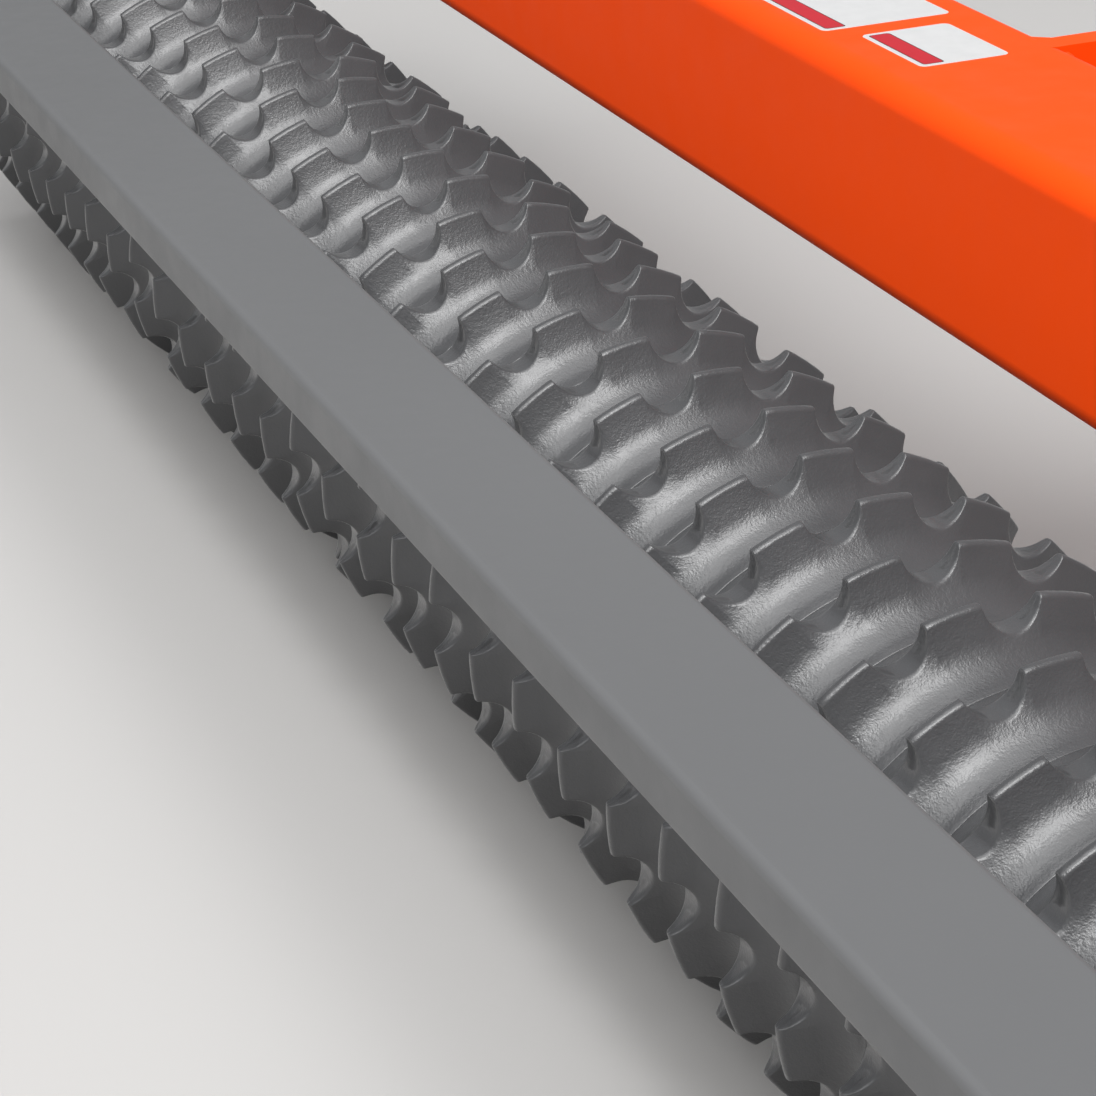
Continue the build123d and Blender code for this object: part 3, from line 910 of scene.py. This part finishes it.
def jack_beads():
    """Round the jack's mounting plate and socket, and down its swivel disc."""
    plate, sunk, socket = 0.010, 0.0005, 0.0405
    beads = [bead_round("jack_mount", 0, 1, 0.0040, 15, 0.008, sunk=sunk),
             bead_round("jack_mount", 0, 1, 0.0036, 16, socket, 12, 2 * socket,
                        plate + sunk)]
    piece("mount_beads", beads, "orange_powder", "root")
    cap, level = box_of("jack_cap")[2], box_of("jack_mount")[2][2]
    x, half, reach = cap[0] + 0.032, 0.0315, 0.034
    beads = []
    for side in (-1, 1):
        y = cap[1] + side * half
        beads.append(bead([(x, y, level - reach), (x, y, level + reach)], 0.0036,
                          17 + side, (0, 1, 0)))
    piece("jack_beads", beads, "black_enamel", "jack")


class CULTIPACKER_OT_bolts(bpy.types.Operator):
    """Set the bolts of the side plates and of the bearings."""
    bl_idname = "cultipacker.bolts"
    bl_label = "Bolts"

    def execute(self, context):
        sizes = context.scene.packer_frame
        outer, beam = box_of("hanger_right")[1][0], box_of("main_beam")[2]
        frame = [(y, z) for y in (-1, 0, 1) for z in (-1, 0, 1) if (y, z) != (0, 0)]
        square = ((-1, -1), (1, -1), (1, 1), (-1, 1))
        bolted("plate_bolts", frame, (outer, *beam[1:]), sizes.plate_bolt_reach,
               sizes.plate_bolt, 0.0165)
        bolted("bearing_bolts", square, (outer + sizes.bearing_flange, *AXLE[1:]),
               sizes.bearing_bolt_reach, sizes.bearing_bolt, 0.012)
        return {"FINISHED"}


def bolted(name, spots, centre, reach, across, washer):
    """Bolts on both ends of the machine, at spots times the reach round a centre."""
    bolts = []
    for side in (-1, 1):
        for y, z in spots:
            place = (side * centre[0], centre[1] + y * reach, centre[2] + z * reach)
            bolts += bolt(place, (side, 0, 0), across, washer)
    piece(name, bolts, "bolt_zinc", "root")


class CULTIPACKER_OT_labels(bpy.types.Operator):
    """Lay the two blank labels with their coloured band on the beam's top."""
    bl_idname = "cultipacker.labels"
    bl_label = "Labels"

    def execute(self, context):
        sizes = context.scene.packer_labels
        border, rule, film = sizes.border, sizes.rule, sizes.film
        films, rules, bands = [], [], []
        for left, right, rear, front in (sizes.first, sizes.second):
            films.append(printed(left, right, rear, front, sizes.corner, film))
            left, right, rear = left + border, right - border, rear + border
            front = rear + sizes.band
            rules.append(printed(left, right, rear, front, 0.003, 1.2 * film))
            bands.append(printed(left + rule, right - rule, rear + rule, front - rule,
                                 0.0025, 1.4 * film))
        piece("label_films", films, "label_white", "root")
        piece("label_rules", rules, "label_rule", "root")
        piece("label_bands", bands, "label_band", "root")
        return {"FINISHED"}


def printed(left, right, rear, front, corner, thickness):
    """A rounded rectangle that stands its thickness above the beam."""
    top, sunk, edge = box_of("main_beam")[1][2], 0.0002, 0.0001
    outline = rounded_outline((right - left, front - rear), corner, 6)
    outline = outline + ((left + right) / 2, AXLE[1] + (rear + front) / 2)
    return slab(outline, top - sunk, top + thickness, edge)


class CULTIPACKER_OT_jack(bpy.types.Operator):
    """Build the swivel jack: mount, tube, cap, crank, grip, leg and foot."""
    bl_idname = "cultipacker.jack"
    bl_label = "Jack"

    def execute(self, context):
        edge = 2 * context.scene.packer_frame.plate_edge
        jack_mount()
        jack_tube()
        softened("jack_cap", "black_enamel", "jack", edge)
        jack_crank()
        jack_leg(edge)
        return {"FINISHED"}


def jack_mount():
    """Plate and socket on the tongue's side."""
    low, high, middle = box_of("jack_mount")
    long, wide, thick, edge = high[0] - low[0], high[1] - low[1], 0.010, 0.0015
    points, faces = slab(rounded_outline(wide, 0.008), 0, thick, edge)
    across, up, out = points.T
    plate = np.stack([high[0] - out, middle[1] - across, middle[2] + up], axis=1)
    start, bore, radius = thick - 0.001, 0.0302, 0.0400
    socket = turned([(start, bore), (start, radius), (long - 0.002, radius),
                     (long, radius - edge), (long, bore)],
                    (high[0], *middle[1:]), (-1, 0, 0), 64, ring=True)
    piece("jack_socket", [(plate, faces), socket], "orange_powder", "root",
          ("jack_mount",))


def jack_tube():
    """Square tube with its collar, swivel disc and spigot."""
    low, high, _ = box_of("jack_tube")
    cap, mount = box_of("jack_cap")[2], box_of("jack_mount")[2]
    wide, room, collar = 0.064, 0.0545, 0.070
    outer = rounded_outline(wide, 0.007)
    shell = sleeve(outer, rounded_outline(room, 0.004), low[2], high[2], cap[:2])
    swivel = turned([(0, 0.020), (0, 0.0445), (0.0012, 0.046), (0.0068, 0.046),
                     (0.008, 0.0445), (0.008, 0.030), (0.056, 0.030), (0.058, 0.028)],
                    (cap[0] + wide / 2, *mount[1:]), (1, 0, 0), 64)
    foot = sleeve(rounded_outline(collar, 0.010), outer, low[2], low[2] + 0.022, cap[:2])
    piece("jack_body", [shell, swivel, foot], "black_enamel", "jack", ("jack_tube",))


def jack_crank():
    """Bent rod and ridged grip."""
    low, high, middle = box_of("jack_crank")
    grip_low, grip_high, grip = box_of("jack_grip")
    rod, y = 0.0065, middle[1]
    arm, level = low[0] + rod + 0.0055, high[2] - rod
    path = [(high[0] + 0.004, y, level), (arm, y, level), (arm, y, grip[2]),
            (grip_low[0] + 0.01, y, grip[2])]
    piece("crank_rod", round_rod(path, rod, 0.018), "zinc_plate", "jack",
          ("jack_crank",))
    long, ends, ridges = grip_high[0] - grip_low[0], 0.006, 9
    along = np.linspace(ends, long - ends, 60)
    radii = 0.0128 + 0.0007 * np.sin(along / long * 2 * np.pi * ridges)
    profile = [(0, 0.0085), (0.001, 0.0115), (0.003, 0.013), *zip(along, radii),
               (long - 0.003, 0.013), (long - 0.001, 0.0115), (long, 0.008)]
    handle = turned(profile, (grip_high[0], *grip[1:]), (-1, 0, 0), 36)
    piece("crank_grip", handle, "handle_rubber", "jack", ("jack_grip",))


def jack_leg(edge):
    """Square leg on a pressed foot."""
    low, high, middle = box_of("jack_leg")
    wide, wall, bend = high[0] - low[0], 0.005, 0.005
    tube = sleeve(rounded_outline(wide, bend), rounded_outline(wide - 2 * wall, 0.002),
                  low[2], high[2], middle[:2])
    piece("leg_tube", tube, "zinc_plate", "jack_leg", ("jack_leg",))
    softened("jack_foot", "black_enamel", "jack_leg", edge)
    seam = bead_round("jack_leg", 2, 0, 0.004, 5, bend, 8)
    piece("foot_bead", seam, "black_enamel", "jack_leg")


class CULTIPACKER_OT_stage(bpy.types.Operator):
    """Set up the floor, the surroundings, the lamps and the camera."""
    bl_idname = "cultipacker.stage"
    bl_label = "Stage"

    def execute(self, context):
        scene, stage = context.scene, context.scene.packer_stage
        half, level = 30.0, -0.0005
        mesh = bpy.data.meshes.new("floor")
        mesh.from_pydata([(-half, -half, level), (half, -half, level),
                          (half, half, level), (-half, half, level)], [], [(0, 1, 2, 3)])
        mesh.materials.append(floor_finish(stage))
        floor = bpy.data.objects.new("floor", mesh)
        scene.collection.objects.link(floor)
        surroundings(scene, stage)
        lamp("key_lamp", stage.key_direction, 12.0, 6.0, stage.key)
        lamp("sky_lamp", stage.sky_direction, 10.0, 9.8, stage.sky)
        lamp("rear_lamp", stage.rear_direction, 9.0, 7.5, stage.rear)
        camera(scene, stage)
        scene.view_settings.view_transform = "Standard"
        return {"FINISHED"}


def floor_finish(stage):
    """Pale floor that the camera and mirror rays see, darker to the light it throws
    back under the machine."""
    material = bpy.data.materials.new("floor")
    material.use_nodes = True
    tree = material.node_tree
    surface = tree.nodes["Principled BSDF"].inputs
    surface["Roughness"].default_value = 0.9
    surface["Specular IOR Level"].default_value = 0.1
    path = node(tree, "ShaderNodeLightPath", {}).outputs
    seen = path["Is Camera Ray"]
    for ray in ("Is Glossy Ray", "Is Transmission Ray"):
        seen = node(tree, "ShaderNodeMath", {0: seen, 1: path[ray]}, operation="ADD",
                    use_clamp=True).outputs["Value"]
    mix = node(tree, "ShaderNodeMix", {"Factor": seen, "A": (*stage.floor_bounce, 1),
                                       "B": (*stage.floor, 1)}, data_type="RGBA")
    tree.links.new(mix.outputs["Result"], surface["Base Color"])
    return material


def surroundings(scene, stage):
    """Even pale surroundings, brighter overhead than at the sides."""
    world = bpy.data.worlds.new("surroundings")
    world.use_nodes = True
    tree = world.node_tree
    background = tree.nodes["Background"].inputs
    background["Color"].default_value = (0.97, 0.98, 1.0, 1)
    place = node(tree, "ShaderNodeTexCoord", {}).outputs["Generated"]
    height = node(tree, "ShaderNodeSeparateXYZ", {"Vector": place}).outputs["Z"]
    reach = node(tree, "ShaderNodeMapRange", {"Value": height, "To Min": stage.horizon,
                                              "To Max": stage.zenith})
    tree.links.new(reach.outputs["Result"], background["Strength"])
    scene.world = world


def lamp(name, direction, distance, size, power):
    """A square lamp that faces the object's middle from a direction."""
    data = bpy.data.lights.new(name, "AREA")
    data.shape = "SQUARE"
    data.size = size
    data.energy = power
    item = bpy.data.objects.new(name, data)
    away = Vector(direction).normalized()
    item.location = Vector((0.4, -0.6, 0.4)) + distance * away
    item.rotation_euler = away.to_track_quat("Z", "Y").to_euler()
    bpy.context.scene.collection.objects.link(item)


def camera(scene, stage):
    """A camera that looks forward, turned so that its top is on the up side."""
    data = bpy.data.cameras.new("camera")
    data.lens = stage.lens
    data.sensor_width = 36.0
    data.sensor_fit = "HORIZONTAL"
    data.clip_end = 200.0
    item = bpy.data.objects.new("camera", data)
    forward = Vector(stage.camera_forward).normalized()
    right = forward.cross(Vector(stage.camera_up)).normalized()
    turn = Matrix((right, right.cross(forward), -forward)).transposed().to_4x4()
    item.matrix_world = Matrix.Translation(Vector(stage.camera_place)) @ turn
    scene.collection.objects.link(item)
    scene.camera = item


class CULTIPACKER_PT_panel(bpy.types.Panel):
    """The cultipacker's pieces, in the order in which they are built."""
    bl_label = "Cultipacker"
    bl_idname = "CULTIPACKER_PT_panel"
    bl_space_type = "VIEW_3D"
    bl_region_type = "UI"
    bl_category = "Cultipacker"

    def draw(self, context):
        for operator in OPERATORS:
            self.layout.operator(operator.bl_idname)
        for group in GROUPS:
            box = self.layout.box()
            settings = getattr(context.scene, group)
            for name in settings.__annotations__:
                box.prop(settings, name)


OPERATORS = (
    CULTIPACKER_OT_finishes,
    CULTIPACKER_OT_rings,
    CULTIPACKER_OT_end_ribs,
    CULTIPACKER_OT_shaft,
    CULTIPACKER_OT_bearings,
    CULTIPACKER_OT_tubes,
    CULTIPACKER_OT_plates,
    CULTIPACKER_OT_welds,
    CULTIPACKER_OT_bolts,
    CULTIPACKER_OT_labels,
    CULTIPACKER_OT_jack,
    CULTIPACKER_OT_stage,
)
GROUPS = {
    "packer_ring": RingSizes,
    "packer_frame": FrameSizes,
    "packer_labels": LabelSizes,
    "packer_colours": FinishColours,
    "packer_stage": StageSettings,
}


def register():
    """Adds the property groups to the scene, then the operators and the panel."""
    for name, group in GROUPS.items():
        bpy.utils.register_class(group)
        setattr(bpy.types.Scene, name, PointerProperty(type=group))
    for item in (*OPERATORS, CULTIPACKER_PT_panel):
        bpy.utils.register_class(item)


def unregister():
    """Takes them away in the opposite order."""
    for item in (CULTIPACKER_PT_panel, *reversed(OPERATORS)):
        bpy.utils.unregister_class(item)
    for name, group in GROUPS.items():
        delattr(bpy.types.Scene, name)
        bpy.utils.unregister_class(group)


def main():
    """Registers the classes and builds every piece."""
    register()
    for operator in OPERATORS:
        getattr(bpy.ops.cultipacker, operator.bl_idname.split(".")[1])()


if __name__ == "__main__":
    main()
